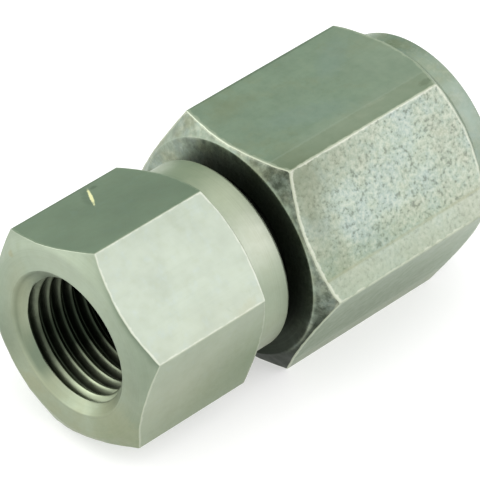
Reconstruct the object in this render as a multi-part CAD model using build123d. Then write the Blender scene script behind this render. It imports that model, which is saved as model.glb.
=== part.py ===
from build123d import *
import os
from math import cos, radians, sqrt, tan

# Gauge adapter: a body turned from hexagon bar, with a gauge port in one end and a cone nose on the
# other, and a union nut that swivels on the nose, held by a round wire fed into a groove.
# It lies on a flat of the nut. X runs along the fitting from the port to the nut, Z is up, and the
# origin is under the middle of its length. All sizes are in millimetres and degrees.

# Gauge port, a G 1/4 pipe thread
port_thread_major = 13.157
port_thread_pitch = 1.337
port_sink_rim = 0.4
port_depth = 15.5

# Body hexagon and the collar behind it
body_flats = 19.0
body_hex_length = 14.65
body_face_step = 0.35
body_chamfer_angle = 30.0
body_turn = -16.3
collar_step = 0.3
collar_length = 3.5
collar_edge = 0.3

# Swivel nut, with an M18 x 1.5 thread
nut_thread_major = 18.0
nut_thread_pitch = 1.5
nut_thread_length = 12.0
nut_sink_rim = 0.2
nut_relief_length = 2.5
nut_relief_depth = 0.15
nut_bore_length = 9.5
nut_bore_edge = 0.4
nut_wall = 2.0
nut_face_step = 0.4
nut_front_chamfer_angle = 30.0
nut_rear_chamfer_angle = 40.0
nut_collar_wall = 1.2
nut_collar_length = 2.3
nut_collar_edge = 0.4
nut_gap = 1.35

# Stem and 24 degree cone nose
cone_room = 1.188
stem_length = 12.85
cone_half_angle = 12.0
nose_step = 1.7
nose_edge = 0.4
through_bore = 4.5

# O-ring in its groove on the cone
seal_section = 1.5
seal_proud = 0.3
seal_inset = 2.7
seal_groove_width = 2.0
seal_seat_gap = 0.02

# Wire that holds the nut on the stem, and the hole that it is fed through
wire_diameter = 1.5
wire_inset = 4.5
wire_play = 1.0
wire_clearance = 0.05
wire_end_gap = 12.0
feed_flat = -60.0
feed_lean = 40.0
feed_clearance = 0.1
running_clearance = 0.08

# A thread's crest to crest radius is this share of its pitch less than the major radius
PIPE_THREAD_DEPTH = 0.640327
METRIC_THREAD_DEPTH = 0.541266

# Radii across the common axis
port_radius = port_thread_major / 2 - PIPE_THREAD_DEPTH * port_thread_pitch
port_sink_radius = port_thread_major / 2 + port_sink_rim
collar_radius = body_flats / 2 - collar_step
nut_flats = nut_thread_major + 2 * nut_wall
nut_thread_radius = nut_thread_major / 2 - METRIC_THREAD_DEPTH * nut_thread_pitch
nut_sink_radius = nut_thread_major / 2 + nut_sink_rim
nut_relief_radius = nut_thread_major / 2 + nut_relief_depth
nut_collar_radius = nut_thread_major / 2 + nut_collar_wall
stem_radius = nut_thread_radius - cone_room
nut_bore_radius = stem_radius + running_clearance
nose_radius = stem_radius - nose_step
wire_ring_radius = stem_radius + running_clearance / 2

# Places along the axis, measured from the port's face
collar_start = body_hex_length
collar_end = collar_start + collar_length
cone_start = collar_end + stem_length
cone_end = cone_start + nose_step / tan(radians(cone_half_angle))
nut_start = collar_end + nut_gap
nut_relief_start = nut_start + nut_bore_length
nut_thread_start = nut_relief_start + nut_relief_length
nut_end = nut_thread_start + nut_thread_length
wire_place = nut_start + wire_inset
seal_place = cone_end - seal_inset

# How the fitting lies in its own frame: on a flat of the nut, or on the body if its corner reaches lower
middle = max(nut_end, cone_end) / 2
body_reach = body_flats / sqrt(3) * cos(radians(30 - abs(body_turn)))
axis_height = max(nut_flats / 2, body_reach)
resting = Pos(-middle, 0, axis_height)


def turned(*outline):
    """A solid turned about X from a closed outline of (place along the axis, radius) points."""
    return revolve(Plane.XZ * make_face(Polyline(*outline, close=True)), axis=Axis.X)


def hexagon_bar(flats, start, end, faces, angles):
    """Hexagon bar with a flat up, its corners chamfered down to a round face at each end."""
    section = RegularPolygon(flats / 2, 6, major_radius=False)
    bar = extrude(Plane.YZ.offset(start) * section, amount=end - start)
    beyond_corners = flats / sqrt(3) + 1
    front = (beyond_corners - faces[0]) * tan(radians(angles[0]))
    rear = (beyond_corners - faces[1]) * tan(radians(angles[1]))
    return bar & turned(
        (start, 0),
        (start, faces[0]),
        (start + front, beyond_corners),
        (end - rear, beyond_corners),
        (end, faces[1]),
        (end, 0),
    )


def cone_radius(inset):
    """Radius of the cone nose at a distance back from its end."""
    return nose_radius + inset * tan(radians(cone_half_angle))


def ring(place, radius, section, turn=360):
    """A round wire of the given section diameter, bent to a ring about X, from straight up."""
    profile = Plane.XZ * Pos(place, radius) * Circle(section / 2)
    return revolve(profile, axis=Axis.X, revolution_arc=turn)


def adapter_body():
    """The one-piece body: hexagon, collar, stem and cone nose, bored from both ends."""
    faces = (body_flats / 2 - body_face_step, collar_radius)
    angles = (body_chamfer_angle, body_chamfer_angle)
    bar = hexagon_bar(body_flats, 0, collar_start, faces, angles)
    seal_bottom = cone_radius(seal_inset) + seal_proud - seal_section
    wire_half_groove = (wire_diameter + wire_play) / 2 + wire_clearance
    wire_bottom = wire_ring_radius - wire_diameter / 2 - wire_clearance
    turned_end = turned(
        (collar_start, 0),
        (collar_start, collar_radius),
        (collar_end - collar_edge, collar_radius),
        (collar_end, collar_radius - collar_edge),
        (collar_end, stem_radius),
        (cone_start, stem_radius),
        (cone_end - nose_edge, cone_radius(nose_edge)),
        (cone_end, nose_radius - nose_edge),
        (cone_end, 0),
    )
    seal_groove = turned(
        (seal_place - seal_groove_width / 2, seal_bottom),
        (seal_place - seal_groove_width / 2, stem_radius),
        (seal_place + seal_groove_width / 2, stem_radius),
        (seal_place + seal_groove_width / 2, seal_bottom),
    )
    wire_groove = turned(
        (wire_place - wire_half_groove, wire_bottom),
        (wire_place - wire_half_groove, collar_radius),
        (wire_place + wire_half_groove, collar_radius),
        (wire_place + wire_half_groove, wire_bottom),
    )
    bores = turned(
        (0, 0),
        (0, port_sink_radius),
        (port_sink_radius - port_radius, port_radius),
        (port_depth, port_radius),
        (port_depth, through_bore / 2),
        (cone_end, through_bore / 2),
        (cone_end, 0),
    )
    blank = bar + turned_end - seal_groove - wire_groove - bores
    return resting * Rot(body_turn, 0, 0) * blank


def feed_hole():
    """The slanting hole through a flat of the nut that meets the wire's groove at a tangent."""
    lean = radians(feed_lean)
    reach = (nut_flats / 2 + wire_ring_radius) / cos(lean)
    drill = extrude(Circle(wire_diameter / 2 + feed_clearance), amount=reach)
    foot = Pos(wire_place, 0, 0) * Rot(feed_flat - feed_lean, 0, 0) * Pos(0, -wire_ring_radius, 0)
    return foot * drill


def swivel_nut():
    """The union nut: plain bore with the wire's groove, relief and threaded bore, round end collar."""
    hexagon_end = nut_end - nut_collar_length
    faces = (nut_flats / 2 - nut_face_step, nut_collar_radius)
    angles = (nut_front_chamfer_angle, nut_rear_chamfer_angle)
    bar = hexagon_bar(nut_flats, nut_start, hexagon_end, faces, angles)
    collar = turned(
        (hexagon_end, 0),
        (hexagon_end, nut_collar_radius),
        (nut_end - nut_collar_edge, nut_collar_radius),
        (nut_end, nut_collar_radius - nut_collar_edge),
        (nut_end, 0),
    )
    relief_slope = nut_relief_radius - nut_thread_radius
    bores = turned(
        (nut_start, 0),
        (nut_start, nut_bore_radius + nut_bore_edge),
        (nut_start + nut_bore_edge, nut_bore_radius),
        (nut_relief_start, nut_bore_radius),
        (nut_relief_start, nut_relief_radius),
        (nut_thread_start, nut_relief_radius),
        (nut_thread_start + relief_slope, nut_thread_radius),
        (nut_end - (nut_sink_radius - nut_thread_radius), nut_thread_radius),
        (nut_end, nut_sink_radius),
        (nut_end, 0),
    )
    wire_groove = ring(wire_place, wire_ring_radius, wire_diameter + 2 * wire_clearance)
    return resting * (bar + collar - bores - wire_groove - feed_hole())


def retaining_wire():
    """The wire, wrapped round the stem from the foot of the feed hole nearly back to it."""
    wrap = ring(wire_place, wire_ring_radius, wire_diameter, 360 - wire_end_gap)
    return resting * Rot(feed_flat + 90 - feed_lean, 0, 0) * wrap


def seal_ring():
    """The O-ring, stretched on the bottom of its groove and standing proud of the cone."""
    ring_radius = cone_radius(seal_inset) + seal_proud - seal_section / 2 + seal_seat_gap
    return resting * ring(seal_place, ring_radius, seal_section)


os.makedirs("parts", exist_ok=True)
export_step(adapter_body(), "parts/adapter_body.step")
export_step(swivel_nut(), "parts/swivel_nut.step")
export_step(retaining_wire(), "parts/retaining_wire.step")
export_step(seal_ring(), "parts/seal_ring.step")
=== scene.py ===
from math import atan, cos, pi, radians, sin, sqrt, tan

import bmesh
import bpy
import numpy as np
from mathutils import Matrix, Vector


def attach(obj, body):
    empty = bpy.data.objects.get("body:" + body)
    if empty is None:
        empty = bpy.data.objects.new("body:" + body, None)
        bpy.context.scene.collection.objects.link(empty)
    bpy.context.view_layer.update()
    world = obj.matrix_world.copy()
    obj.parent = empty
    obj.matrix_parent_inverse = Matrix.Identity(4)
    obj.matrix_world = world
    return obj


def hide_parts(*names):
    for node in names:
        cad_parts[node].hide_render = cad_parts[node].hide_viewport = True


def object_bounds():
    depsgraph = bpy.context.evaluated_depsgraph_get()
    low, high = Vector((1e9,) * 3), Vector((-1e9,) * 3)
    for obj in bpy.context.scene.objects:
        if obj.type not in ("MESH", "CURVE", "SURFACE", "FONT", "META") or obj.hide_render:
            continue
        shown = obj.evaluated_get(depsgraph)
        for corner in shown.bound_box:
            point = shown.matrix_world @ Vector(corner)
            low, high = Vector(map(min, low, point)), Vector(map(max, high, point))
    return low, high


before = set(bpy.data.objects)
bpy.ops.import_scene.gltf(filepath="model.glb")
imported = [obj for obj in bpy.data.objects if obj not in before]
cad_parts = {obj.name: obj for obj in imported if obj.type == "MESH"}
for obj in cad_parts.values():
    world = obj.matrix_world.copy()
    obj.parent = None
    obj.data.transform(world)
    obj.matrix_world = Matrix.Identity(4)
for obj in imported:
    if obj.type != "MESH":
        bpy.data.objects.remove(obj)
cad_low, cad_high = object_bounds()

# A gauge adapter of zinc plated steel: a hexagon body with a threaded gauge port, and a longer union nut
# that swivels on its stem. The frame is in metres, with X along the fitting and the floor at Z = 0.
# Sizes are named in millimetres, as on the fitting's drawing, and places along it count from the port's face.
MM = 0.001
AXIS_HEIGHT = 11.0
PORT_FACE_X = cad_low.x / MM

# Body. A groove is the places of its two sides and the radius of its bottom
BODY_FLATS = 19.0
BODY_TURN = radians(-16.3)
BODY_HEX_END = 14.65
BODY_FACE_RADIUS = 9.15
BODY_CHAMFER = radians(30)
BODY_EDGE = 0.14
COLLAR_RADIUS = 9.2
COLLAR_END = 18.15
COLLAR_EDGE = 0.3
COLLAR_RIM = 0.2
STEM_RADIUS = 7.0
WIRE_GROOVE = (22.7, 25.3, 6.24)
CONE_START = 31.0
CONE_END = 38.998
CONE_SLOPE = tan(radians(12))
NOSE_RADIUS = 5.3
NOSE_EDGE = 0.4
SEAL_GROOVE = (35.298, 37.298, 4.674)
BORE_RADIUS = 2.25

# Gauge port with its rounded pipe thread. A form is a thread's depth and sharp depth, as shares of its pitch
PIPE_FORM = (0.640327, 0.960491)
PORT_MAJOR = 13.157 / 2
PORT_PITCH = 1.337
PORT_CREST = PORT_MAJOR - PIPE_FORM[0] * PORT_PITCH
PORT_DEPTH = 15.5
PORT_SINK_RADIUS = PORT_MAJOR + 0.4
PORT_SINK_DEPTH = PORT_SINK_RADIUS - PORT_CREST
PORT_THREAD_START = 0.75
PORT_THREAD_RUN_IN = 0.4
PORT_THREAD_END = 13.6
PORT_WALL_END = PORT_DEPTH - 0.2
PORT_THREAD_PHASE = 0.68

# Oil and painted shade round the port, by angle in degrees from straight up to -Y: on the thread, where
# they grow with each millimetre of depth; a painted shadow at the countersink's rim and painted shade low in
# it; and painted shade on the chamfer by a bright flat
PORT_OIL_AND_SHADE_ANGLE = (-180, -160, -140, -117, -86, -50, -10, 60, 120, 150, 180)
PORT_OIL_AND_SHADE = (0.0, 0.30, 0.82, 0.94, 0.68, 0.68, 0.5, 0.5, 0.3, 0.0, 0.0)
PORT_OIL_AND_SHADE_GROWTH = (0.06, 0.08, 0.06, 0.05, 0.03, 0.04, 0.06, 0.06, 0.06, 0.06, 0.06)
PORT_OIL_AND_SHADE_START = 1.5
# Painted shade with oil in the thread's roots, and painted shade in the bore behind the port, darker towards
# the port
PORT_GROOVE_REACH = (0.58, 1.0)
PORT_GROOVE_OIL_AND_SHADE = (0, 0.92)
BORE_SHADE = (0.9, 0.3)
SINK_RIM_ANGLE = (-150, -110, -60, -25)
SINK_RIM_INSET = 0.30
SINK_RIM_WIDTH = 0.13
SINK_RIM_ROUND = 0.1
SINK_SHADE_ANGLE = (-158, -143, -118, -100)
SINK_SHADE_RADIUS = (5.75, 6.0, 6.6, 6.9)
SINK_SHADE = 0.8
FLAT_SHADE_ANGLE = (14, 30, 45, 73, 76)
FLAT_SHADE = (0.15, 0.45, 0.75, 0.75, 0)
FLAT_SHADE_WIDTH = 0.35

# Union nut
METRIC_FORM = (0.541266, 0.866025)
NUT_FLATS = 22.0
NUT_START = 19.5
NUT_END = 43.5
NUT_HEX_END = 41.2
NUT_FACE_RADIUS = 10.6
NUT_FRONT_CHAMFER = radians(30)
NUT_REAR_CHAMFER = radians(40)
NUT_EDGE = 0.28
NUT_COLLAR_RADIUS = 10.2
NUT_COLLAR_EDGE = 0.4
NUT_BORE_RADIUS = 7.08
NUT_BORE_EDGE = 0.4
NUT_RELIEF = (29.0, 31.5, 9.15)
NUT_MAJOR = 9.0
NUT_PITCH = 1.5
NUT_CREST = NUT_MAJOR - METRIC_FORM[0] * NUT_PITCH
NUT_SINK_RADIUS = 9.2
NUT_SINK_DEPTH = NUT_SINK_RADIUS - NUT_CREST
NUT_THREAD = (NUT_RELIEF[1] + 0.05, NUT_END - 0.1)
NUT_THREAD_PHASE = 0.0
WIRE_PLACE = 24.0
WIRE_RING_RADIUS = 7.04
WIRE_GROOVE_RADIUS = 0.8
FEED_FLAT = radians(-60)
FEED_LEAN = radians(40)
FEED_RADIUS = 0.85

# How grainy each flat of the nut is, from the top one round towards -Y, how grainy its turned faces are, how
# wide the rolled margin is along one side of each flat, whose shading is painted, and where the painted light
# and dark lines beside it lie
FLAT_GRAIN = (0.08, 1.0, 0.1, 0.6, 1.0, 0.5)
TURNED_GRAIN = 0.3
FLAT_MARGIN = 2.05
MARGIN_BORDER = 0.05
LIGHT_LINE = FLAT_MARGIN + 0.08
DARK_LINE = FLAT_MARGIN + 0.28

# Painted shade in the gap over the nut's front face, and dirt with painted shade on its chamfer, by the same
# angle. It is lighter at the rim of its face. Then painted shade in its thread's roots and bore
FACE_SHADE_ANGLE = (-180, -150, -40, -15, 20, 90, 120, 180)
FACE_SHADE = (0.97, 0.25, 0.18, 0.70, 0.92, 0.92, 0.97, 0.97)
CHAMFER_DIRT_AND_SHADE_ANGLE = (-180, -140, -20, 10, 30, 60, 85, 105, 180)
CHAMFER_DIRT_AND_SHADE = (0.95, 0.25, 0.2, 0.28, 0.72, 0.4, 0.5, 0.96, 0.97)
FACE_RIM_LIGHTER = 0.7
FACE_RIM_OUTSET = 0.05
FACE_RIM_WIDTH = 0.14
NUT_GROOVE_REACH = (0.2, 0.8)
NUT_BORE_SHADE = 0.3

# The slight waves in the borders of the chamfers: how many to a turn, and how high
BODY_FRONT_WAVES = ((5, 11, 23, 41), 0.03)
BODY_REAR_WAVES = ((7, 17, 31), 0.02)
NUT_FRONT_WAVES = ((5, 13, 29, 47), 0.04)
NUT_REAR_WAVES = ((7, 19, 37), 0.04)

# O-ring, with the thin line that its mould leaves, whose half width is an angle
SEAL_RING_PLACE = 36.298
SEAL_RING_RADIUS = 5.444
SEAL_SECTION_RADIUS = 0.75
SEAL_LINE_HEIGHT = 0.02
SEAL_LINE_WIDTH = 0.09

# The camera of the photograph, which is 480 pixels square. The port's pixel is the middle of its face
IMAGE_SIZE = 480
SENSOR_WIDTH = 36.0
CAMERA_AZIMUTH = radians(-44.98)
CAMERA_ELEVATION = radians(37.70)
CAMERA_ROLL = radians(-0.26)
FOCAL_PIXELS = 4721.9
PIXELS_PER_MM = 11.642
PORT_PIXEL = (66.2, 344.0)

# Light: a pale room that is dimmer low at the back, a softbox in front on the right and one opposite it.
# Powers are in watts, and the sizes of the softboxes and the floor in metres
ROOM_LIGHT = (1.39, 1.40, 1.36, 1.0)
DIM_LIGHT = (0.43, 0.55, 0.45, 1.0)
DIM_DIRECTION = (0.55, 0.80, 0.24)
DIM_REACH = (cos(radians(22)), cos(radians(50)))
KEY_DIRECTION = (0.55, -0.68, 0.52)
KEY_SIZE = (0.60, 0.50)
KEY_POWER = 0.60
KEY_COLOUR = (1.20, 0.98, 1.40)
FILL_DIRECTION = (-0.50, 0.74, 0.42)
FILL_SIZE = (0.50, 0.40)
FILL_POWER = 0.60
FILL_COLOUR = (1.0, 1.0, 1.0)
SOFTBOX_DISTANCE = 0.6
FLOOR_REACH = 3
FLOOR_WHITE = 0.62
FLOOR_GLOW = 0.44
FLOOR_ROUGHNESS = 0.9

# What the finishes are called in a grid, and the colours of the metal, its stains, painted light and shade,
# and the rubber
TURNED, FLAT, BORE, INNER = 0, 1, 2, 3
BODY_STEEL = (0.322, 0.378, 0.288)
NUT_STEEL = (0.318, 0.385, 0.300)
NUT_TURNED_STEEL = (0.32, 0.38, 0.30)
BORE_STEEL = (0.36, 0.41, 0.29)
# Painted shade: the dark steel of the stem and the back of the collar in the gap and under the nut
GAP_SHADE_STEEL = (0.05, 0.06, 0.045)
WIRE_STEEL = (0.45, 0.46, 0.44)
# Bright worn metal, and also painted highlight and glints
BRIGHT_WEAR_AND_GLINT = (0.58, 0.61, 0.49, 1.0)
BROWN_TINT = (0.38, 0.37, 0.27, 1.0)
BLUE_TINT = (0.32, 0.40, 0.38, 1.0)
OLIVE_TINT = (0.31, 0.33, 0.22, 1.0)
LIGHT_TINT = (0.45, 0.49, 0.40, 1.0)
# Painted light on the top of the collar
STRAW_PAINTED_LIGHT = (0.45, 0.485, 0.36, 1.0)
DARK_TINT = (0.13, 0.17, 0.12, 1.0)
MOSS_TINT = (0.11, 0.17, 0.075, 1.0)
SLATE_TINT = (0.17, 0.235, 0.18, 1.0)
UMBER_TINT = (0.16, 0.19, 0.12, 1.0)
PIT_TINT = (0.11, 0.13, 0.10, 1.0)
# Dark dirt, and painted shade in hollows and in the gap
GRIME_AND_SHADE = (0.024, 0.032, 0.021, 1.0)
# Painted highlight on the nicked spot
NICK_GLINT = (0.80, 0.78, 0.42, 1.0)
RUBBER = (0.012, 0.012, 0.012, 1.0)
DULL_RUBBER = (0.035, 0.035, 0.033, 1.0)

# The plating: how warm its patches are, how deep its drawn lines, and how far turned faces spread their gloss
WARMTH = (1.0, 0.94, 0.80)
DRAWN_DEPTH = 0.0006
TURNED_SPREAD = 0.4

# Worn edges, partly a painted highlight: what they add to the roughness, and the shares of their reach that
# are full and ragged
WORN_ROUGHNESS = -0.01
WEAR_AND_HIGHLIGHT_FULL = 0.4
WEAR_AND_HIGHLIGHT_RAGGED = 0.6

# What grain adds to the roughness, how dull the nicked spot is so that its pale painted highlight shows,
# where in its half sizes a mark ends, between what heights the front face turns olive with oil and painted
# shade, and how fine the rubber's patches are
GRAIN_ROUGHNESS = 0.14
NICK_DULLNESS = 0.8
MARK_END = 1.15
OIL_AND_SHADE_HEIGHTS = (15, 3)
RUBBER_SCALE = 1.5

# Nearly all of a noise lies between these values
NOISE_REACH = (0.3, 0.7)

# Marks on the metal, some of them painted light and shade: centre in the frame, turn of the flat that it lies
# on, slant, half sizes, colour, share, and for some how far out a mark begins to fade and how ragged it is. A
# soft one fades from its middle on
SOFT = (0.0, 0.05)
BODY_MARKS_AND_SHADE = (
    ((-11.5, 1.5, 20.3), BODY_TURN, 0.0, (11.0, 7.5, 3.0), DARK_TINT, 0.28, *SOFT),
    # The next three: painted shade over the lower flat
    ((-14.5, -8.7, 6.5), BODY_TURN + 2 * pi / 3, 0.0, (16.0, 9.0, 6.0), OLIVE_TINT, 0.6, *SOFT),
    ((-15.0, -8.2, 4.0), BODY_TURN + 2 * pi / 3, 0.0, (13.0, 4.5, 4.0), MOSS_TINT, 0.35, *SOFT),
    ((-7.5, -9.0, 6.8), BODY_TURN + 2 * pi / 3, 0.0, (8.0, 5.5, 5.0), MOSS_TINT, 0.6, *SOFT),
    ((-14.4, 7.93, 18.58), BODY_TURN, 0.0, (8.5, 0.3, 0.3), DARK_TINT, 0.6, 0.3, 0.1),
    # Painted shadow beside the nicked spot
    ((-13.45, 5.95, 19.15), BODY_TURN, radians(58), (2.0, 0.55, 0.5), DARK_TINT, 0.3),
    ((-11.9, 6.9, 18.9), BODY_TURN, radians(10), (0.5, 0.3, 0.3), DARK_TINT, 0.5),
    ((-10.2, -10.3, 14.3), BODY_TURN + pi / 3, radians(20), (1.5, 0.5, 0.3), OLIVE_TINT, 0.3),
    ((-9.0, -9.7, 15.2), BODY_TURN + pi / 3, radians(70), (0.5, 0.2, 0.3), DARK_TINT, 0.12),
    ((-11.8, -9.9, 14.8), BODY_TURN + pi / 3, radians(120), (0.4, 0.15, 0.3), DARK_TINT, 0.10),
)
# A nicked spot through the plating, with a painted highlight: pale yellow, and not metal
BODY_NICK_AND_GLINT = ((-13.23, 5.73, 19.22), BODY_TURN, radians(58), (1.8, 0.17, 0.3), NICK_GLINT, 1.0)
FACE_MARKS_LIGHT_AND_SHADE = (
    ((-21.4, 5.9, 12.0), 0.0, 0.0, (1.0, 1.8, 5.5), OLIVE_TINT, 0.9, *SOFT),
    # The next two: painted shade low on the front face, on its -Y and +Y sides
    ((-21.4, -7.2, 4.6), 0.0, 0.0, (2.5, 4.0, 3.6), MOSS_TINT, 0.75, *SOFT),
    ((-21.0, 8.2, 7.2), 0.0, 0.0, (2.5, 3.6, 4.0), DARK_TINT, 0.70, *SOFT),
    ((-21.4, -9.4, 12.5), 0.0, 0.0, (2.5, 4.4, 11.5), DARK_TINT, 0.5, *SOFT),
    # The next two: painted light on the top of the collar
    ((-5.2, 1.0, 21.0), 0.0, 0.0, (3.5, 7.5, 4.0), STRAW_PAINTED_LIGHT, 0.95, *SOFT),
    ((-5.2, -6.8, 17.8), 0.0, 0.0, (3.5, 5.5, 5.5), STRAW_PAINTED_LIGHT, 0.55, *SOFT),
    ((-21.7, -6.3, 5.5), radians(40), 0.0, (1.5, 4.5, 2.6), OLIVE_TINT, 0.55),
    ((-21.7, 7.9, 11.5), 0.0, 0.0, (1.5, 2.4, 5.5), DARK_TINT, 0.25, *SOFT),
    ((-21.7, 6.86, 17.04), 0.0, 0.0, (0.5, 0.40, 0.35), OLIVE_TINT, 0.9),
    # Painted light on the top of the front face
    ((-21.7, 0.5, 20.2), 0.0, 0.0, (2.5, 6.5, 4.0), LIGHT_TINT, 0.25, *SOFT),
    ((-21.7, 4.6, 4.2), 0.0, 0.0, (1.0, 1.6, 0.9), OLIVE_TINT, 0.6),
)
NUT_TURNED_MARKS_AND_SHADE = (
    ((20.8, -7.6, 17.2), 0.0, 0.0, (5.0, 8.5, 9.0), SLATE_TINT, 0.75, *SOFT),
    # Painted shade low at the nut's front, by the gap and the floor
    ((-1.5, -5.0, 1.5), 0.0, 0.0, (3.5, 9.0, 5.5), GRIME_AND_SHADE, 1.0, 0.4, 0.1),
)
NUT_MARKS_AND_SHADE = (
    ((-0.5, -6.8, 21.3), radians(60), 0.0, (9.0, 3.2, 3.0), UMBER_TINT, 0.70, *SOFT),
    ((-0.5, -8.6, 18.0), radians(60), 0.0, (2.8, 9.0, 3.0), UMBER_TINT, 0.60, *SOFT),
    # Painted shade over the bottom flat
    ((7.0, -8.6, 4.0), radians(120), 0.0, (24.0, 8.5, 7.0), MOSS_TINT, 0.85, *SOFT),
    ((8.6, 6.35, 22.0), 0.0, 0.0, (12.5, 0.35, 0.35), DARK_TINT, 0.65, 0.3, 0.1),
    # Painted shade over the bottom flat
    ((-5.5, -9.9, 6.0), radians(120), 0.0, (30.0, 11.0, 6.0), MOSS_TINT, 1.0, *SOFT),
    ((9.0, -4.9, 22.0), 0.0, 0.0, (11.0, 1.8, 0.6), LIGHT_TINT, 0.6, *SOFT),
    ((18.5, 0.0, 22.0), 0.0, 0.0, (7.0, 7.0, 1.0), LIGHT_TINT, 0.4, *SOFT),
    ((18.6, -5.3, 22.0), 0.0, radians(20), (1.0, 0.7, 0.4), MOSS_TINT, 0.5),
    ((16.9, -5.45, 22.0), 0.0, radians(5), (0.85, 0.42, 0.4), DARK_TINT, 0.5),
    ((11.5, -4.46, 22.0), 0.0, radians(-3), (1.3, 0.16, 0.3), LIGHT_TINT, 0.7),
    ((13.6, 2.9, 22.0), 0.0, radians(30), (3.5, 1.4, 0.5), BLUE_TINT, 0.3),
    ((6.0, -1.5, 22.0), 0.0, radians(-20), (4.5, 1.5, 0.5), BLUE_TINT, 0.3),
    ((1.5, 3.8, 22.0), 0.0, radians(15), (3.0, 1.2, 0.5), OLIVE_TINT, 0.3),
)

# How finely the skins are divided. Between two corners the rows are spaced evenly, or closer at both ends
EVEN, EASED = True, False
ARC_ROWS = 6
FLAT_COLUMNS = 24
EDGE_COLUMNS = 8
SEAL_COLUMNS = 144
SEAL_ROWS = 40
DRILL_SIDES = 64
GROOVE_SIDES = 8
MOST_ROUNDED = 0.45
SHARP_ANGLE = radians(40)

# A distance too far from any edge for its worn brightness and painted highlight, and one too small to see
PLAIN_DISTANCE = 5.0
NEAR = 0.02


def bell(distance, width):
    """A value that is 1 at distance 0 and falls off smoothly over the width."""
    return np.exp(-((distance / width) ** 2))


def within(value, places):
    """1 between the middle two of four places, and 0 outside the outer two."""
    return np.interp(value, places, (0, 1, 1, 0))


def degrees_round(angle):
    """Angle from straight up towards -Y, in degrees from -180 to 180."""
    return np.degrees((angle + pi) % (2 * pi) - pi)


def waves(angle, counts, strength):
    """A slight wobble round the axis: sine waves of the given counts to a turn."""
    return strength * sum(np.sin(count * angle + count**2) for count in counts) / sqrt(len(counts))


def hexagon_radius(angle, flats, turn, edge):
    """Distance from the axis to the side of a hexagon bar whose long edges are rounded."""
    apothem = flats / 2
    off_middle = (angle - turn + pi / 6) % (pi / 3) - pi / 6
    centre = (apothem - edge) / cos(pi / 6)
    tangent = np.arctan(centre * sin(pi / 6) / apothem)
    off_corner = pi / 6 - np.abs(off_middle)
    on_arc = centre * np.cos(off_corner)
    on_arc += np.sqrt(np.maximum(edge**2 - (centre * np.sin(off_corner)) ** 2, 0))
    return np.where(np.abs(off_middle) > tangent, on_arc, apothem / np.cos(off_middle))


def hexagon_columns(flats, turn, edge):
    """Angles of the grid's columns, closer together at the rounded long edges of the hexagon."""
    centre = (flats / 2 - edge) / cos(pi / 6)
    tangent = atan(centre * sin(pi / 6) / (flats / 2))
    across = tangent * np.sin(np.linspace(-pi / 2, pi / 2, FLAT_COLUMNS + 1))
    round_edge = np.linspace(tangent, pi / 3 - tangent, EDGE_COLUMNS + 1)[1:-1]
    sector = np.concatenate([across, round_edge])
    return np.concatenate([turn + k * pi / 3 + sector for k in range(6)])


def unhighlighted(angle, turn):
    """A distance that keeps the worn brightness and painted highlight off the dark long edge before the top
    flat, and is 0 elsewhere.
    """
    off_edge = (angle - turn + pi / 6 + pi) % (2 * pi) - pi
    return np.where(np.abs(off_edge) < pi / 6, PLAIN_DISTANCE, 0)


def across_flat(angle, flats, turn):
    """Place across the flat that each column meets, from its middle, in the direction of growing angle."""
    off_middle = (angle - turn + pi / 6) % (pi / 3) - pi / 6
    return flats / 2 * np.tan(off_middle)


def outline_rows(corners, columns):
    """Grid rows along a closed outline. A corner is (place, radius, rounding, divisions to the next one,
    finish of that stretch, spacing), where place and radius may differ from column to column. Returns the
    rows' places and radii, their finishes, and the distance from the nearest worn edge."""
    full = np.ones(columns)
    points = [np.array([c[0] * full, c[1] * full]) for c in corners]
    count = len(corners)
    starts, ends, arcs = [], [], []
    for i, corner in enumerate(corners):
        back = points[i - 1] - points[i]
        ahead = points[(i + 1) % count] - points[i]
        back_length = np.hypot(*back)
        ahead_length = np.hypot(*ahead)
        turn = pi - np.arccos(np.clip((back * ahead).sum(0) / back_length / ahead_length, -1, 1))
        reach = corner[2] * np.tan(turn / 2)
        reach = np.minimum(reach, MOST_ROUNDED * np.minimum(back_length, ahead_length))
        starts.append(points[i] + back / back_length * reach)
        ends.append(points[i] + ahead / ahead_length * reach)
        steps = np.linspace(0, 1, ARC_ROWS + 1) if corner[2] else np.array([0.0])
        arcs.append([(1 - t) ** 2 * starts[i] + 2 * t * (1 - t) * points[i] + t**2 * ends[i] for t in steps])
    rows, finishes, from_edge = [], [], []
    for i, corner in enumerate(corners):
        divisions, finish, even = corner[3:6]
        following = (i + 1) % count
        starts_worn = FLAT in (finish, corners[i - 1][4])
        ends_worn = FLAT in (finish, corners[following][4])
        rows += arcs[i]
        finishes += [finish] * len(arcs[i])
        from_edge += [(0 if starts_worn else PLAIN_DISTANCE) * full] * len(arcs[i])
        length = np.hypot(*(starts[following] - ends[i]))
        for k in range(1, divisions):
            t = k / divisions if even else 0.5 - 0.5 * cos(pi * k / divisions)
            rows.append((1 - t) * ends[i] + t * starts[following])
            finishes.append(finish)
            near_start = t * length if starts_worn else PLAIN_DISTANCE * full
            near_end = (1 - t) * length if ends_worn else PLAIN_DISTANCE * full
            from_edge.append(np.minimum(near_start, near_end))
    rows = np.array(rows)
    return rows[:, 0], rows[:, 1], np.array(finishes), np.array(from_edge)


def thread_radius(place, angle, major, pitch, form, phase):
    """Radius of an internal right-hand thread with rounded crests and roots."""
    depth, sharp_depth = form[0] * pitch, form[1] * pitch
    turns = (place / pitch - angle / (2 * pi) + phase) % 1
    height = sharp_depth * (np.abs(2 * turns - 1) - 0.5) / (depth / 2)
    fullness = sharp_depth / depth
    straight = 2 - fullness
    past = np.maximum(np.abs(height) - straight, 0)
    rounded = straight + past - past**2 / (4 * (fullness - 1))
    height = np.where(np.abs(height) > straight, np.sign(height) * rounded, height)
    return major - depth / 2 + height * depth / 2


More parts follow.
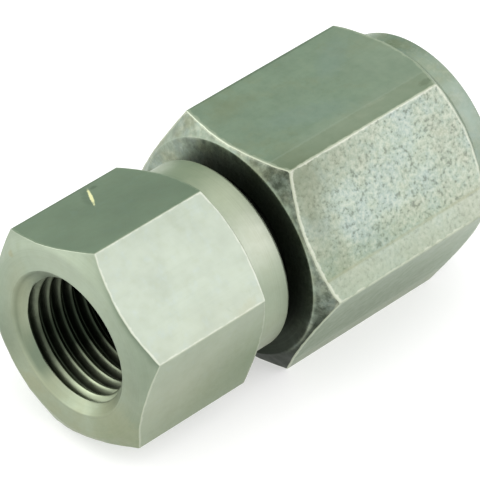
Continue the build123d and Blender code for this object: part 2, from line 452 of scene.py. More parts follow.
def skin(name, place, radius, angle, finishes, materials, marks):
    """A closed skin on a grid: rows follow the outline and columns go round the axis. Marks are named
    values at the grid's points, which the materials read."""
    rows, columns = place.shape
    x = (place + PORT_FACE_X) * MM
    y = -radius * np.sin(angle) * MM
    z = (AXIS_HEIGHT + radius * np.cos(angle)) * MM
    points = np.stack([x, y, z], axis=-1).reshape(-1, 3)
    i, j = np.meshgrid(np.arange(rows), np.arange(columns), indexing="ij")
    below = (i + 1) % rows
    beside = (j + 1) % columns
    quads = np.stack([i, below, below, i], -1) * columns + np.stack([j, j, beside, beside], -1)
    mesh = bpy.data.meshes.new(name)
    mesh.from_pydata(points.tolist(), [], quads.reshape(-1, 4)[:, ::-1].tolist())
    for material in materials:
        mesh.materials.append(material)
    mesh.polygons.foreach_set("material_index", np.repeat(finishes, columns).astype(np.int32))
    mesh.polygons.foreach_set("use_smooth", np.ones(rows * columns, dtype=bool))
    for mark, values in marks.items():
        attribute = mesh.attributes.new(mark, "FLOAT", "POINT")
        spread_values = np.broadcast_to(values, place.shape).astype(np.float32)
        attribute.data.foreach_set("value", spread_values.ravel())
    mesh.update()
    mesh.set_sharp_from_angle(angle=SHARP_ANGLE)
    piece = bpy.data.objects.new(name, mesh)
    bpy.context.scene.collection.objects.link(piece)
    return piece


def add(tree, kind, inputs=None, **settings):
    """Adds a shader node. An input is a value, or another node's output to link."""
    made = tree.nodes.new(kind)
    for name, value in settings.items():
        setattr(made, name, value)
    for name, value in (inputs or {}).items():
        if isinstance(value, bpy.types.NodeSocket):
            tree.links.new(value, made.inputs[name])
        else:
            made.inputs[name].default_value = value
    return made


def math(tree, operation, first, second=0.0, clamp=False):
    """The result of a Math node."""
    return add(tree, "ShaderNodeMath", {0: first, 1: second}, operation=operation, use_clamp=clamp).outputs[0]


def vector(tree, operation, first, second):
    """The vector that a Vector Math node gives."""
    return add(tree, "ShaderNodeVectorMath", {0: first, 1: second}, operation=operation).outputs[0]


def vector_length(tree, value):
    """The length of a vector in a shader."""
    return add(tree, "ShaderNodeVectorMath", {0: value}, operation="LENGTH").outputs[1]


def noise(tree, where, scale, detail, roughness):
    """Soft noise about 0.5, with scale bumps to each unit of the coordinates."""
    inputs = {"Vector": where, "Scale": scale, "Detail": detail, "Roughness": roughness}
    return add(tree, "ShaderNodeTexNoise", inputs).outputs["Fac"]


def spread(tree, value, low, high, out_low=0.0, out_high=1.0):
    """Maps a stretch of a value to another, held at its ends."""
    inputs = {0: value, 1: low, 2: high, 3: out_low, 4: out_high}
    return add(tree, "ShaderNodeMapRange", inputs, clamp=True).outputs[0]


def ragged(tree, where, scale, reach):
    """Noise from minus reach to reach, for uneven borders."""
    return spread(tree, noise(tree, where, scale=scale, detail=3, roughness=0.6), *NOISE_REACH, -reach, reach)


def tint(tree, share, first, second):
    """Mixes two colours; each is a colour or another node's output."""
    inputs = {0: share, 6: first, 7: second}
    return add(tree, "ShaderNodeMix", inputs, data_type="RGBA").outputs[2]


def colour(red, green, blue):
    """A colour with its alpha."""
    return (red, green, blue, 1.0)


class Steel:
    """Zinc plated steel: a metal whose colour, roughness and grain come from the place on the piece."""

    def __init__(self, name, base, roughness, cloud=0.05, tinge=0.15):
        self.material = bpy.data.materials.new(name)
        self.material.use_nodes = True
        tree = self.tree = self.material.node_tree
        self.shader = tree.nodes["Principled BSDF"]
        self.shader.inputs["Metallic"].default_value = 1.0
        local = add(tree, "ShaderNodeTexCoord").outputs["Object"]
        self.place = add(tree, "ShaderNodeVectorMath", {0: local, 3: 1 / MM}, operation="SCALE").outputs[0]
        self.centred = vector(tree, "ADD", self.place, (0, 0, -AXIS_HEIGHT))
        clouds = noise(tree, self.place, scale=0.3, detail=3, roughness=0.6)
        patches = noise(tree, self.place, scale=1.1, detail=2, roughness=0.6)
        dark = colour(*(c * (1 - cloud) for c in base))
        light = colour(*(c * (1 + cloud) for c in base))
        self.colour = tint(tree, spread(tree, clouds, 0.35, 0.65), dark, light)
        warm = colour(*(c * warmth for c, warmth in zip(base, WARMTH)))
        self.colour = tint(tree, spread(tree, patches, 0.52, 0.72, 0, tinge), self.colour, warm)
        self.roughness = spread(tree, patches, *NOISE_REACH, *roughness)
        self.height = None

    def mark(self, name):
        """The named value that the grid's points carry."""
        return add(self.tree, "ShaderNodeAttribute", attribute_name=name).outputs["Fac"]

    def cover(self, share, paint):
        """Lays a colour over the metal by that share."""
        self.colour = tint(self.tree, share, self.colour, paint)

    def grain(self, height, depth):
        """Adds to the surface's grain a height from 0 to 1, of that depth in millimetres."""
        part = math(self.tree, "MULTIPLY", height, depth)
        self.height = part if self.height is None else math(self.tree, "ADD", self.height, part)

    def blotches(self, paint, share, scale, low, high):
        """Cloudy patches of a colour; low and high are the noise at which they begin and are full."""
        patches = noise(self.tree, self.place, scale=scale, detail=3, roughness=0.6)
        self.cover(spread(self.tree, patches, low, high, 0, share), paint)

    def blemish(self, centre, turn, slant, size, paint, share, clear=0.55, raggedness=0.25):
        """A single mark; clear is how far from its middle it begins to fade. Returns its share."""
        tree = self.tree
        border = ragged(tree, self.place, 2.5, raggedness)
        lie = (Matrix.Rotation(turn, 3, "X") @ Matrix.Rotation(slant, 3, "Z")).to_euler()
        sockets = {0: self.place, 1: centre, 2: lie, 3: size}
        inside = add(tree, "ShaderNodeMapping", sockets, vector_type="TEXTURE").outputs[0]
        part = spread(tree, math(tree, "ADD", vector_length(tree, inside), border), clear, MARK_END, share, 0)
        self.cover(part, paint)
        return part

    def blemishes(self, marks):
        """Marks laid on one after another."""
        for mark in marks:
            self.blemish(*mark)

    def turned(self, depth):
        """Rings left by the turning tool: fine grooves, and gloss that spreads across them."""
        tree = self.tree
        parts = add(tree, "ShaderNodeSeparateXYZ", {0: self.centred}).outputs
        radius = vector_length(tree, add(tree, "ShaderNodeCombineXYZ", {1: parts[1], 2: parts[2]}).outputs[0])
        rings = add(tree, "ShaderNodeCombineXYZ", {0: parts[0], 1: radius}).outputs[0]
        fine = noise(tree, rings, scale=5.0, detail=4, roughness=0.7)
        self.cover(spread(tree, fine, 0.45, 0.70, 0, 0.13), DARK_TINT)
        self.grain(fine, depth)
        self.grain(noise(tree, rings, scale=1.6, detail=2, roughness=0.5), depth * 1.5)
        self.grain(noise(tree, self.place, scale=4.0, detail=3, roughness=0.6), depth * 0.3)
        groove = vector(tree, "CROSS_PRODUCT", (1, 0, 0), self.centred)
        settings = {"vector_type": "VECTOR", "convert_from": "OBJECT", "convert_to": "WORLD"}
        groove = add(tree, "ShaderNodeVectorTransform", {0: groove}, **settings).outputs[0]
        normal = add(tree, "ShaderNodeNewGeometry").outputs["Normal"]
        tree.links.new(vector(tree, "CROSS_PRODUCT", groove, normal), self.shader.inputs["Tangent"])
        self.shader.inputs["Anisotropic"].default_value = TURNED_SPREAD

    def drawn(self, depth):
        """Faint lines along the bar that it was drawn with."""
        lines = add(self.tree, "ShaderNodeMapping", {0: self.place, 3: (0.04, 1.0, 1.0)}).outputs[0]
        drawn = noise(self.tree, lines, scale=3.0, detail=2, roughness=0.5)
        self.cover(spread(self.tree, drawn, 0.5, 0.75, 0, 0.04), DARK_TINT)
        self.grain(drawn, depth)

    def wear_and_highlight(self, reach, share):
        """Bright metal where the edges are worn, partly a painted highlight, up to about reach millimetres
        from them.
        """
        tree = self.tree
        border = ragged(tree, self.place, 1.4, WEAR_AND_HIGHLIGHT_RAGGED * reach)
        distance = math(tree, "ADD", self.mark("from_edge"), border)
        edge = spread(tree, distance, WEAR_AND_HIGHLIGHT_FULL * reach, reach, share, 0)
        self.cover(edge, BRIGHT_WEAR_AND_GLINT)
        self.roughness = math(tree, "ADD", self.roughness, math(tree, "MULTIPLY", edge, WORN_ROUGHNESS))

    def soiled_and_shaded(self, share, scale, raggedness):
        """Dark dirt and painted shade over a share of the surface from 0 to 1, uneven where it is neither
        bare nor covered.
        """
        tree = self.tree
        patches = noise(tree, self.place, scale=scale, detail=4, roughness=0.7)
        uneven = spread(tree, patches, 0.38, 0.62, -raggedness, raggedness)
        bare = math(tree, "SUBTRACT", 1.0, share)
        partly = math(tree, "MULTIPLY", math(tree, "MULTIPLY", share, bare), 4.0)
        self.cover(math(tree, "ADD", share, math(tree, "MULTIPLY", uneven, partly), clamp=True), GRIME_AND_SHADE)

    def finish(self):
        """Links what has been laid on to the shader."""
        tree = self.tree
        tree.links.new(self.colour, self.shader.inputs["Base Color"])
        tree.links.new(self.roughness, self.shader.inputs["Roughness"])
        if self.height is not None:
            bump = add(tree, "ShaderNodeBump", {"Strength": 1.0, "Distance": MM, "Height": self.height})
            tree.links.new(bump.outputs[0], self.shader.inputs["Normal"])
        return self.material


def body_turned_steel():
    """Turned faces of the body: olive low on the front face from oil and painted shade, a painted shadow at
    the countersink's rim, painted shade low in it and beside the bright flat, and painted light on the tops
    of the face and collar.
    """
    steel = Steel("body_turned_steel", BODY_STEEL, roughness=(0.40, 0.48))
    tree = steel.tree
    height = add(tree, "ShaderNodeSeparateXYZ", {0: steel.place}).outputs[2]
    # Olive low on the front face: oil, and painted shade
    patches = noise(tree, steel.place, scale=0.45, detail=5, roughness=0.6)
    patchy_oil_and_shade = spread(tree, patches, 0.3, 0.6, 0.25, 0.75)
    steel.cover(math(tree, "MULTIPLY", spread(tree, height, *OIL_AND_SHADE_HEIGHTS), patchy_oil_and_shade), OLIVE_TINT)
    # Painted shade in the countersink and beside the bright flat
    steel.cover(steel.mark("tinge"), DARK_TINT)
    steel.blemishes(FACE_MARKS_LIGHT_AND_SHADE)
    steel.turned(depth=0.004)
    return steel.finish()


def threaded_steel(name):
    """Crests cut bright, and flanks and roots darkened with painted shade, with oil as well in the port."""
    steel = Steel(name, BORE_STEEL, roughness=(0.31, 0.38))
    steel.soiled_and_shaded(steel.mark("groove"), scale=1.6, raggedness=0.06)
    steel.grain(noise(steel.tree, steel.place, scale=5.0, detail=4, roughness=0.6), depth=0.003)
    return steel.finish()


def stem_shade_steel():
    """The stem and the back of the collar in the gap, painted dark as the shade there."""
    steel = Steel("stem_shaded_steel", GAP_SHADE_STEEL, roughness=(0.35, 0.5))
    steel.turned(depth=0.004)
    return steel.finish()


def drawn_steel(name, base, marks=(), nick_and_glint=None):
    """Sides of drawn bar, with single marks, and a nicked spot through the plating that doesn't shine as
    metal but is painted pale as a highlight.
    """
    steel = Steel(name, base, roughness=(0.30, 0.38), tinge=0.12)
    tree = steel.tree
    steel.blotches(BLUE_TINT, 0.25, scale=0.8, low=0.55, high=0.75)
    steel.blemishes(marks)
    if nick_and_glint:
        bare = steel.blemish(*nick_and_glint, clear=0.7)
        metallic = math(tree, "SUBTRACT", 1.0, math(tree, "MULTIPLY", bare, NICK_DULLNESS))
        tree.links.new(metallic, steel.shader.inputs["Metallic"])
    steel.drawn(DRAWN_DEPTH)
    steel.grain(noise(tree, steel.place, scale=0.9, detail=1, roughness=0.5), depth=0.0012)
    steel.wear_and_highlight(reach=0.16, share=0.34)
    return steel.finish()


def nut_turned_steel():
    """Turned faces of the nut: cloudy plating, painted shade in the gap, and dirt with painted shade on the
    front chamfer.
    """
    steel = Steel("nut_turned_steel", NUT_TURNED_STEEL, roughness=(0.36, 0.46), cloud=0.1)
    steel.blotches(OLIVE_TINT, 0.6, scale=0.5, low=0.45, high=0.6)
    steel.blotches(BLUE_TINT, 0.35, scale=0.7, low=0.52, high=0.65)
    steel.blotches(LIGHT_TINT, 0.4, scale=2.0, low=0.50, high=0.66)
    steel.wear_and_highlight(reach=0.18, share=0.55)
    steel.blemishes(NUT_TURNED_MARKS_AND_SHADE)
    steel.soiled_and_shaded(steel.mark("grime_and_shade"), scale=1.1, raggedness=0.2)
    steel.turned(depth=0.005)
    return steel.finish()


def nut_grained_steel():
    """The nut's flats: granular plating with painted glints, coarse on the flats that face sideways and
    smooth on the others, and the painted shading of a slightly rolled margin along one side of each."""
    steel = Steel("nut_grained_steel", NUT_STEEL, roughness=(0.31, 0.38))
    tree = steel.tree
    grainy = steel.mark("grainy")
    smooth = math(tree, "SUBTRACT", 1.0, grainy)
    specks = noise(tree, steel.place, scale=2.6, detail=3, roughness=0.62)
    crowds = noise(tree, steel.place, scale=0.5, detail=4, roughness=0.6)
    level = math(tree, "ADD", specks, spread(tree, crowds, 0.35, 0.65, -0.022, 0.022))
    hue = noise(tree, steel.place, scale=0.22, detail=5, roughness=0.7)
    # What sets it, the values where it begins and is full, its share, the flats that it lies on, its colour
    speckles = (
        (hue, 0.48, 0.62, 0.30, grainy, BROWN_TINT),
        (hue, 0.52, 0.38, 0.45, grainy, BLUE_TINT),
        (hue, 0.52, 0.62, 0.35, smooth, OLIVE_TINT),
        (level, 0.455, 0.34, 0.62, grainy, PIT_TINT),
        # Light specks: painted glints on the grainy flats
        (level, 0.50, 0.64, 0.34, grainy, BRIGHT_WEAR_AND_GLINT),
    )
    for value, low, high, share, where, paint in speckles:
        steel.cover(math(tree, "MULTIPLY", spread(tree, value, low, high, 0, share), where), paint)
    steel.blemishes(NUT_MARKS_AND_SHADE)
    rolled_margin_shading(steel, specks, grainy, smooth)
    steel.grain(math(tree, "MULTIPLY", level, grainy), depth=0.03)
    steel.drawn(DRAWN_DEPTH)
    steel.roughness = math(tree, "ADD", steel.roughness, math(tree, "MULTIPLY", grainy, GRAIN_ROUGHNESS))
    steel.wear_and_highlight(reach=0.20, share=0.55)
    return steel.finish()


def rolled_margin_shading(steel, specks, grainy, smooth):
    """Painted shading of the margin along one side of each flat of the nut, and painted light and dark lines
    at its border.
    """
    tree = steel.tree
    uneven = spread(tree, specks, *NOISE_REACH, -MARGIN_BORDER, MARGIN_BORDER)
    margin = math(tree, "ADD", steel.mark("margin"), uneven)
    band = spread(tree, margin, FLAT_MARGIN + MARGIN_BORDER, FLAT_MARGIN - MARGIN_BORDER, 0, 0.3)
    steel.cover(math(tree, "MULTIPLY", band, smooth), OLIVE_TINT)
    steel.cover(math(tree, "MULTIPLY", math(tree, "MULTIPLY", band, 1.2), grainy), LIGHT_TINT)
    from_light_line = math(tree, "ABSOLUTE", math(tree, "SUBTRACT", margin, LIGHT_LINE))
    steel.cover(spread(tree, from_light_line, 0.05, 0.16, 0.3, 0), LIGHT_TINT)
    from_dark_line = math(tree, "ABSOLUTE", math(tree, "SUBTRACT", margin, DARK_LINE))
    dark_line = spread(tree, from_dark_line, 0.05, 0.2, 0.45, 0)
    steel.cover(math(tree, "MULTIPLY", dark_line, grainy), OLIVE_TINT)


def seal_rubber():
    """Black rubber, dull and slightly uneven."""
    material = bpy.data.materials.new("seal_rubber")
    material.use_nodes = True
    tree = material.node_tree
    shader = tree.nodes["Principled BSDF"]
    local = add(tree, "ShaderNodeTexCoord").outputs["Object"]
    patches = noise(tree, local, scale=RUBBER_SCALE / MM, detail=4, roughness=0.6)
    tree.links.new(tint(tree, patches, RUBBER, DULL_RUBBER), shader.inputs["Base Color"])
    tree.links.new(spread(tree, patches, *NOISE_REACH, 0.38, 0.6), shader.inputs["Roughness"])
    bump = add(tree, "ShaderNodeBump", {"Strength": 0.3, "Distance": 0.02 * MM, "Height": patches})
    tree.links.new(bump.outputs[0], shader.inputs["Normal"])
    return material


def cone_radius(place):
    """Radius of the cone nose at a place along the axis."""
    return NOSE_RADIUS + (CONE_END - place) * CONE_SLOPE


def body_corners(angle, side):
    """Corners of the body's outline, from the front face over the cone nose and back through the port."""
    front = (side - BODY_FACE_RADIUS) * tan(BODY_CHAMFER) + waves(angle, *BODY_FRONT_WAVES)
    rear = BODY_HEX_END - (side - COLLAR_RADIUS) * tan(BODY_CHAMFER) + waves(angle, *BODY_REAR_WAVES)
    return [
        (0, PORT_SINK_RADIUS, 0.15, 8, TURNED, EASED),
        (0, BODY_FACE_RADIUS, 1.0, 4, TURNED, EASED),
        (front, side, 0.08, 28, FLAT, EASED),
        (rear, side, 0.08, 4, TURNED, EASED),
        (BODY_HEX_END, COLLAR_RADIUS, 0.1, 10, TURNED, EASED),
        (COLLAR_END - COLLAR_EDGE, COLLAR_RADIUS, 0.3, 2, TURNED, EASED),
        (COLLAR_END, COLLAR_RADIUS - COLLAR_EDGE, 0.2, 1, TURNED, EASED),
        (COLLAR_END, COLLAR_RADIUS - COLLAR_EDGE - COLLAR_RIM, 0, 6, INNER, EASED),
        (COLLAR_END, STEM_RADIUS, 0.15, 8, INNER, EASED),
        (WIRE_GROOVE[0], STEM_RADIUS, 0.05, 2, INNER, EASED),
        (WIRE_GROOVE[0], WIRE_GROOVE[2], 0.1, 4, INNER, EASED),
        (WIRE_GROOVE[1], WIRE_GROOVE[2], 0.1, 2, INNER, EASED),
        (WIRE_GROOVE[1], STEM_RADIUS, 0.05, 8, INNER, EASED),
        (CONE_START, STEM_RADIUS, 0.3, 10, TURNED, EASED),
        (SEAL_GROOVE[0], cone_radius(SEAL_GROOVE[0]), 0.05, 4, TURNED, EASED),
        (SEAL_GROOVE[0], SEAL_GROOVE[2], 0.15, 4, TURNED, EASED),
        (SEAL_GROOVE[1], SEAL_GROOVE[2], 0.15, 4, TURNED, EASED),
        (SEAL_GROOVE[1], cone_radius(SEAL_GROOVE[1]), 0.05, 4, TURNED, EASED),
        (CONE_END - NOSE_EDGE, cone_radius(CONE_END - NOSE_EDGE), 0.2, 2, TURNED, EASED),
        (CONE_END, NOSE_RADIUS - NOSE_EDGE, 0.15, 6, TURNED, EASED),
        (CONE_END, BORE_RADIUS, 0.1, 12, BORE, EASED),
        (PORT_DEPTH, BORE_RADIUS, 0.1, 6, BORE, EASED),
        (PORT_DEPTH, PORT_CREST, 0.1, 212, BORE, EVEN),
        (PORT_SINK_DEPTH, PORT_CREST, 0.12, 20, TURNED, EVEN),
    ]


def threaded_port(place, radius, angles):
    """Cuts the thread into the port's wall. Returns the radii, and the oil and painted shade in the port and
    bore.
    """
    thread = thread_radius(place, angles, PORT_MAJOR, PORT_PITCH, PIPE_FORM, PORT_THREAD_PHASE)
    fade = np.clip((PORT_THREAD_END + PORT_PITCH - place) / PORT_PITCH, 0, 1)
    fade *= np.clip((place - PORT_THREAD_START) / PORT_THREAD_RUN_IN, 0, 1)
    in_port = (place < PORT_WALL_END) & (radius > PORT_CREST - NEAR) & (radius < PORT_MAJOR)
    threaded = np.maximum(radius, PORT_CREST + (thread - PORT_CREST) * fade)
    cut_depth = (threaded - radius) / (PORT_MAJOR - PORT_CREST)
    # Painted shade with oil: in the thread's roots, and by angle round the port, growing with depth; painted
    # shade in the bore behind it
    groove = np.interp(cut_depth, PORT_GROOVE_REACH, PORT_GROOVE_OIL_AND_SHADE)
    turned_by = degrees_round(angles)
    growth = np.interp(turned_by, PORT_OIL_AND_SHADE_ANGLE, PORT_OIL_AND_SHADE_GROWTH) * (place - PORT_OIL_AND_SHADE_START)
    oil_and_shade = np.clip(np.interp(turned_by, PORT_OIL_AND_SHADE_ANGLE, PORT_OIL_AND_SHADE) + growth, 0, 1)
    behind_port = np.interp(place, (PORT_DEPTH, CONE_END), BORE_SHADE)
    grime_and_shade = np.where(in_port, 1 - (1 - groove) * (1 - oil_and_shade), behind_port)
    return np.where(in_port, threaded, radius), grime_and_shade


def body_painted_shade(place, radius, angles, side):
    """How dark the painted shade is: a painted shadow at the rim of the port's countersink, painted shade low
    in it, and painted shade on the chamfer beside the bright flat.
    """
    turned_by = degrees_round(angles)
    in_sink = (place < PORT_SINK_DEPTH) & (radius < PORT_SINK_RADIUS + SINK_RIM_ROUND)
    rim = within(turned_by, SINK_RIM_ANGLE) * bell(radius - PORT_SINK_RADIUS + SINK_RIM_INSET, SINK_RIM_WIDTH)
    shade = SINK_SHADE * within(turned_by, SINK_SHADE_ANGLE) * within(radius, SINK_SHADE_RADIUS)
    beside_flat = np.interp(turned_by, FLAT_SHADE_ANGLE, FLAT_SHADE) * bell(side - radius, FLAT_SHADE_WIDTH)
    beside_flat = np.where(place < BODY_HEX_END / 2, beside_flat, 0)
    return np.where(in_sink, np.maximum(rim, shade), beside_flat)


def adapter_body(materials):
    """The body's skin, with its thread cut and its marks laid on."""
    angle = hexagon_columns(BODY_FLATS, BODY_TURN, BODY_EDGE)
    side = hexagon_radius(angle, BODY_FLATS, BODY_TURN, BODY_EDGE)
    place, radius, finishes, from_edge = outline_rows(body_corners(angle, side), len(angle))
    angles = np.broadcast_to(angle, place.shape)
    radius, groove = threaded_port(place, radius, angles)
    tinge = body_painted_shade(place, radius, angles, side)
    half_width = BODY_FLATS / 2 * tan(pi / 6)
    to_long_edge = half_width - np.abs(across_flat(angle, BODY_FLATS, BODY_TURN)) + unhighlighted(angle, BODY_TURN)
    on_flat = (finishes == FLAT)[:, None]
    from_edge = np.where(on_flat, np.minimum(from_edge, to_long_edge), from_edge)
    # The groove mark holds oil and painted shade in the port, and the tinge mark holds painted shade
    marks = {"from_edge": from_edge, "groove": groove, "tinge": tinge}
    return skin("adapter_body_finish", place, radius, angles, finishes, materials, marks)


def nut_corners(angle, front, side):
    """Corners of the nut's outline, from the front face to the open end and back through the thread."""
    rear = NUT_HEX_END - (side - NUT_COLLAR_RADIUS) * tan(NUT_REAR_CHAMFER) + waves(angle, *NUT_REAR_WAVES)
    groove_half = sqrt(WIRE_GROOVE_RADIUS**2 - (NUT_BORE_RADIUS - WIRE_RING_RADIUS) ** 2)
    wire_groove = []
    for k in range(1, GROOVE_SIDES):
        along = WIRE_PLACE + WIRE_GROOVE_RADIUS * cos(pi * k / GROOVE_SIDES)
        out = WIRE_RING_RADIUS + WIRE_GROOVE_RADIUS * sin(pi * k / GROOVE_SIDES)
        wire_groove.append((along, out, 0, 1, BORE, EVEN))
    return [
        (NUT_START, NUT_BORE_RADIUS + NUT_BORE_EDGE, 0.08, 8, TURNED, EASED),
        (NUT_START, NUT_FACE_RADIUS, 0.2, 4, TURNED, EASED),
        (front, side, 0.18, 32, FLAT, EASED),
        (rear, side, 0.18, 4, TURNED, EASED),
        (NUT_HEX_END, NUT_COLLAR_RADIUS, 0.5, 8, TURNED, EASED),
        (NUT_END - NUT_COLLAR_EDGE, NUT_COLLAR_RADIUS, 0.25, 2, TURNED, EASED),
        (NUT_END, NUT_COLLAR_RADIUS - NUT_COLLAR_EDGE, 0.15, 4, TURNED, EASED),
        (NUT_END, NUT_SINK_RADIUS, 0.08, 14, TURNED, EVEN),
        (NUT_END - NUT_SINK_DEPTH, NUT_CREST, 0.05, 140, BORE, EVEN),
        (NUT_RELIEF[1] + (NUT_RELIEF[2] - NUT_CREST), NUT_CREST, 0.05, 12, BORE, EVEN),
        (NUT_RELIEF[1], NUT_RELIEF[2], 0.1, 4, BORE, EASED),
        (NUT_RELIEF[0], NUT_RELIEF[2], 0.1, 4, BORE, EASED),
        (NUT_RELIEF[0], NUT_BORE_RADIUS, 0.1, 6, BORE, EASED),
        (WIRE_PLACE + groove_half, NUT_BORE_RADIUS, 0, 1, BORE, EVEN),
        *wire_groove,
        (WIRE_PLACE - groove_half, NUT_BORE_RADIUS, 0, 6, BORE, EASED),
        (NUT_START + NUT_BORE_EDGE, NUT_BORE_RADIUS, 0.1, 2, TURNED, EASED),
    ]


def threaded_nut(place, radius, angles):
    """Cuts the thread into the nut's bore. Returns the radii, and the painted shade in the thread's roots and
    the bore.
    """
    thread = thread_radius(place, angles, NUT_MAJOR, NUT_PITCH, METRIC_FORM, NUT_THREAD_PHASE)
    in_thread = (place > NUT_THREAD[0]) & (place < NUT_THREAD[1]) & (radius < NUT_SINK_RADIUS)
    threaded = np.maximum(radius, thread)
    groove = np.interp((threaded - radius) / (NUT_MAJOR - NUT_CREST), NUT_GROOVE_REACH, (0, 1))
    return np.where(in_thread, threaded, radius), np.where(in_thread, groove, NUT_BORE_SHADE)


def nut_dirt_and_shade(place, radius, angles, front):
    """How dark the nut's front face and the chamfer round it are: painted shade in the gap, and dirt with
    painted shade on the chamfer.
    """
    turned_by = degrees_round(angles)
    face_shade = np.interp(turned_by, FACE_SHADE_ANGLE, FACE_SHADE)
    chamfer_dirt_and_shade = np.interp(turned_by, CHAMFER_DIRT_AND_SHADE_ANGLE, CHAMFER_DIRT_AND_SHADE)
    rim = 1 - FACE_RIM_LIGHTER * bell(radius - NUT_FACE_RADIUS - FACE_RIM_OUTSET, FACE_RIM_WIDTH)
    grime_and_shade = np.where(radius < NUT_FACE_RADIUS, face_shade, chamfer_dirt_and_shade) * rim
    return np.where(place < front + NEAR, grime_and_shade, 0)


def swivel_nut(materials):
    """The nut's skin, with its thread cut and its marks laid on."""
    angle = hexagon_columns(NUT_FLATS, 0, NUT_EDGE)
    side = hexagon_radius(angle, NUT_FLATS, 0, NUT_EDGE)
    front = NUT_START + (side - NUT_FACE_RADIUS) * tan(NUT_FRONT_CHAMFER) + waves(angle, *NUT_FRONT_WAVES)
    place, radius, finishes, from_edge = outline_rows(nut_corners(angle, front, side), len(angle))
    angles = np.broadcast_to(angle, place.shape)
    radius, groove = threaded_nut(place, radius, angles)
    across = across_flat(angle, NUT_FLATS, 0)
    half_width = NUT_FLATS / 2 * tan(pi / 6)
    to_long_edge = half_width - np.abs(across) + unhighlighted(angle, 0)
    on_flat = (finishes == FLAT)[:, None]
    sector = np.floor((angle + pi / 6) / (pi / 3)).astype(int) % 6
    marks = {
        "from_edge": np.where(on_flat, np.minimum(from_edge, to_long_edge), from_edge),
        "groove": groove,
        "grime_and_shade": nut_dirt_and_shade(place, radius, angles, front),
        "margin": np.where(on_flat, half_width - across, PLAIN_DISTANCE),
        "grainy": np.where(on_flat, np.array(FLAT_GRAIN)[sector], TURNED_GRAIN),
    }
    return skin("swivel_nut_finish", place, radius, angles, finishes, materials, marks)


def bored(piece, foot, along, radius, length, lining):
    """Drills a straight hole into a piece from its outside down to the foot, and lines it with a material."""
    cutter_mesh = bpy.data.meshes.new("drill")
    shape = bmesh.new()
    bmesh.ops.create_cone(
        shape, cap_ends=True, segments=DRILL_SIDES, radius1=radius, radius2=radius, depth=length
    )
    bmesh.ops.translate(shape, vec=(0, 0, length / 2), verts=shape.verts)
    shape.to_mesh(cutter_mesh)
    shape.free()
    cutter_mesh.materials.append(lining)
    cutter = bpy.data.objects.new("drill", cutter_mesh)
    bpy.context.scene.collection.objects.link(cutter)
    cutter.matrix_world = Matrix.Translation(foot) @ along.to_track_quat("Z", "Y").to_matrix().to_4x4()
    cut = piece.modifiers.new("drill", "BOOLEAN")
    cut.operation = "DIFFERENCE"
    cut.solver = "EXACT"
    cut.material_mode = "TRANSFER"
    cut.object = cutter
    bpy.context.view_layer.update()
    drilled = bpy.data.meshes.new_from_object(piece.evaluated_get(bpy.context.evaluated_depsgraph_get()))
    piece.modifiers.clear()
    whole = piece.data
    piece.data = drilled
    drilled.name = piece.name
    bpy.data.meshes.remove(whole)
    bpy.data.objects.remove(cutter)
    bpy.data.meshes.remove(cutter_mesh)


def feed_hole(nut, lining):
    """Drills the slanting hole through a flat of the nut that the wire is fed through."""
    lean = FEED_FLAT - FEED_LEAN
    outward = Vector((0, -sin(lean), cos(lean)))
    beside = Vector((0, cos(lean), sin(lean)))
    centre = Vector((PORT_FACE_X + WIRE_PLACE, 0, AXIS_HEIGHT))
    foot = centre - beside * WIRE_RING_RADIUS
    reach = (NUT_FLATS / 2 + WIRE_RING_RADIUS) / cos(FEED_LEAN)
    bored(nut, foot * MM, outward, FEED_RADIUS * MM, reach * MM, lining)


def seal_ring():
    """The O-ring, with the thin line that its mould leaves round the outside and inside."""
    turn = np.arange(SEAL_COLUMNS) * 2 * pi / SEAL_COLUMNS
    around = np.arange(SEAL_ROWS) * 2 * pi / SEAL_ROWS
    from_line = np.minimum(around % pi, pi - around % pi)
    section = SEAL_SECTION_RADIUS - SEAL_LINE_HEIGHT + SEAL_LINE_HEIGHT * bell(from_line, SEAL_LINE_WIDTH)
    place = SEAL_RING_PLACE + section * np.sin(around)
    radius = SEAL_RING_RADIUS + section * np.cos(around)
    place, angles = np.meshgrid(place, turn, indexing="ij")
    radius = np.broadcast_to(radius[:, None], place.shape)
    finishes = np.zeros(SEAL_ROWS, dtype=int)
    return skin("seal_ring_rubber", place, radius, angles, finishes, [seal_rubber()], {})


def photo_camera():
    """The camera that took the photograph, placed by the pixel where the middle of the port's face shows."""
    level = Vector((cos(CAMERA_AZIMUTH), sin(CAMERA_AZIMUTH), 0))
    flat = cos(CAMERA_ELEVATION)
    ahead = Vector((-sin(CAMERA_AZIMUTH) * flat, cos(CAMERA_AZIMUTH) * flat, -sin(CAMERA_ELEVATION)))
    down = ahead.cross(level)
    right = level * cos(CAMERA_ROLL) + down * sin(CAMERA_ROLL)
    down = down * cos(CAMERA_ROLL) - level * sin(CAMERA_ROLL)
    port = Vector((PORT_FACE_X, 0, AXIS_HEIGHT))
    aside = (PORT_PIXEL[0] - IMAGE_SIZE / 2) / PIXELS_PER_MM
    below = (PORT_PIXEL[1] - IMAGE_SIZE / 2) / PIXELS_PER_MM
    spot = port - right * aside - down * below - ahead * (FOCAL_PIXELS / PIXELS_PER_MM)
    data = bpy.data.cameras.new("photo_camera")
    data.sensor_width = SENSOR_WIDTH
    data.lens = FOCAL_PIXELS / IMAGE_SIZE * SENSOR_WIDTH
    camera = bpy.data.objects.new("photo_camera", data)
    columns = Matrix((right, -down, -ahead)).transposed().to_4x4()
    camera.matrix_world = Matrix.Translation(spot * MM) @ columns
    bpy.context.scene.collection.objects.link(camera)
    bpy.context.scene.camera = camera


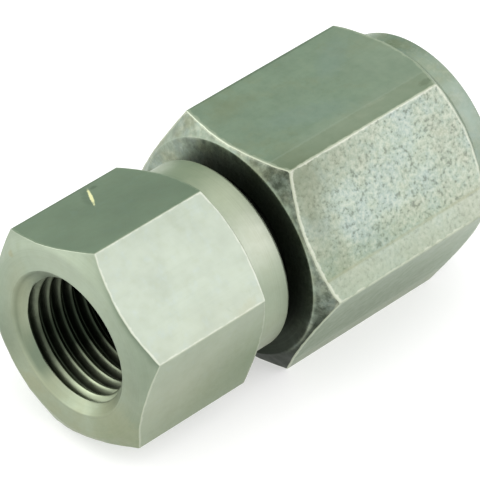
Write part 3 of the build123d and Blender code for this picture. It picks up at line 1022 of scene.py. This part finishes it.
def studio_world():
    """A plain pale room, dimmer low at the back."""
    world = bpy.data.worlds.new("studio")
    bpy.context.scene.world = world
    world.use_nodes = True
    tree = world.node_tree
    sight = add(tree, "ShaderNodeTexCoord").outputs["Generated"]
    toward = tuple(Vector(DIM_DIRECTION).normalized())
    nearness = add(tree, "ShaderNodeVectorMath", {0: sight, 1: toward}, operation="DOT_PRODUCT").outputs[1]
    dim = add(tree, "ShaderNodeMapRange", {0: nearness, 1: DIM_REACH[1], 2: DIM_REACH[0]}).outputs[0]
    light = tint(tree, dim, ROOM_LIGHT, DIM_LIGHT)
    tree.links.new(light, tree.nodes["Background"].inputs["Color"])


def softbox(name, direction, size, power, hue):
    """A flat lamp that faces the fitting."""
    data = bpy.data.lights.new(name, "AREA")
    data.shape = "RECTANGLE"
    data.size, data.size_y = size
    data.energy = power
    data.color = hue
    lamp = bpy.data.objects.new(name, data)
    toward = Vector(direction).normalized()
    lamp.location = toward * SOFTBOX_DISTANCE
    lamp.rotation_euler = toward.to_track_quat("Z", "Y").to_euler()
    lamp.visible_camera = False
    bpy.context.scene.collection.objects.link(lamp)


def studio_floor():
    """A pale floor, lit a little from below like a light table, so that shadows on it stay faint."""
    mesh = bpy.data.meshes.new("floor")
    corners = [(x * FLOOR_REACH, y * FLOOR_REACH, 0) for x, y in ((-1, -1), (1, -1), (1, 1), (-1, 1))]
    mesh.from_pydata(corners, [], [(0, 1, 2, 3)])
    material = bpy.data.materials.new("floor_white")
    material.use_nodes = True
    shader = material.node_tree.nodes["Principled BSDF"]
    shader.inputs["Base Color"].default_value = colour(FLOOR_WHITE, FLOOR_WHITE, FLOOR_WHITE)
    shader.inputs["Roughness"].default_value = FLOOR_ROUGHNESS
    shader.inputs["Emission Color"].default_value = colour(1.0, 1.0, 1.0)
    shader.inputs["Emission Strength"].default_value = FLOOR_GLOW
    mesh.materials.append(material)
    floor = bpy.data.objects.new("floor", mesh)
    bpy.context.scene.collection.objects.link(floor)


# The steels of each skin stand in the order of the finishes
body_steel = [
    body_turned_steel(),
    drawn_steel("body_drawn_steel", BODY_STEEL, BODY_MARKS_AND_SHADE, BODY_NICK_AND_GLINT),
    threaded_steel("port_thread_steel"),
    stem_shade_steel(),
]
nut_steel = [nut_turned_steel(), nut_grained_steel(), threaded_steel("nut_thread_steel")]
wire_steel = drawn_steel("retaining_wire_steel", WIRE_STEEL)

body = adapter_body(body_steel)
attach(body, "adapter")
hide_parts("adapter_body")

nut = swivel_nut(nut_steel)
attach(nut, "nut")
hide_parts("swivel_nut")
feed_hole(nut, nut_steel[BORE])

seal = seal_ring()
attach(seal, "adapter")
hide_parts("seal_ring")

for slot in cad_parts["retaining_wire"].material_slots:
    slot.material = wire_steel

photo_camera()
studio_world()
softbox("key_softbox", KEY_DIRECTION, KEY_SIZE, KEY_POWER, KEY_COLOUR)
softbox("fill_softbox", FILL_DIRECTION, FILL_SIZE, FILL_POWER, FILL_COLOUR)
studio_floor()
bpy.context.scene.view_settings.view_transform = "Standard"
